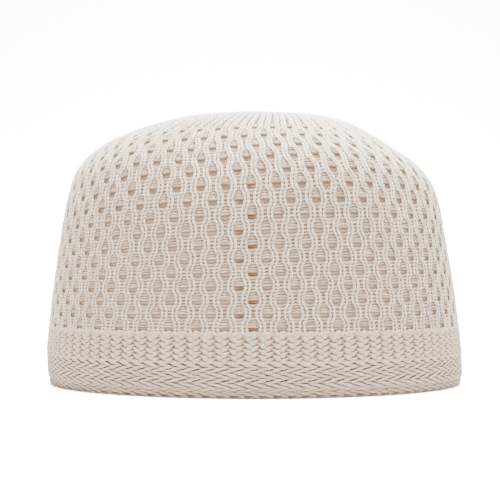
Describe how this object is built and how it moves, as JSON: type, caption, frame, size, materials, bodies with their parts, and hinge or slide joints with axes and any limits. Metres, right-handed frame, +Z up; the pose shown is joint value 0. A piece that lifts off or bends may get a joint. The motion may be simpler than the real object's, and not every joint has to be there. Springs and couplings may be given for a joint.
{
  "type": "kufi",
  "caption": "Round knitted cap with a plain crown, an openwork eyelet wall, a ribbed band and a thick braided hem that it stands on.",
  "frame": {"origin": "middle of the oval rim, on the surface that the hem stands on", "axes": "+Z up through the crown, +X along the oval's long axis, seen from -Y as in the picture"},
  "size_m": [0.1842, 0.1452, 0.119],
  "materials": {
    "braid_yarn": "thick cream cotton yarn, matt, plied, laid in braids",
    "rib_yarn": "cream cotton yarn, matt, in close upright ribs with brown shade between them",
    "mesh_yarn": "fine cream cotton yarn, matt, knitted openwork",
    "crown_yarn": "fine cream cotton yarn, matt, dense plain knit"
  },
  "bodies": {
    "root": {"braided_hem": "braid_yarn", "ribbed_band": "rib_yarn", "eyelet_wall": "mesh_yarn", "knit_crown": "crown_yarn"}
  },
  "joints": []
}
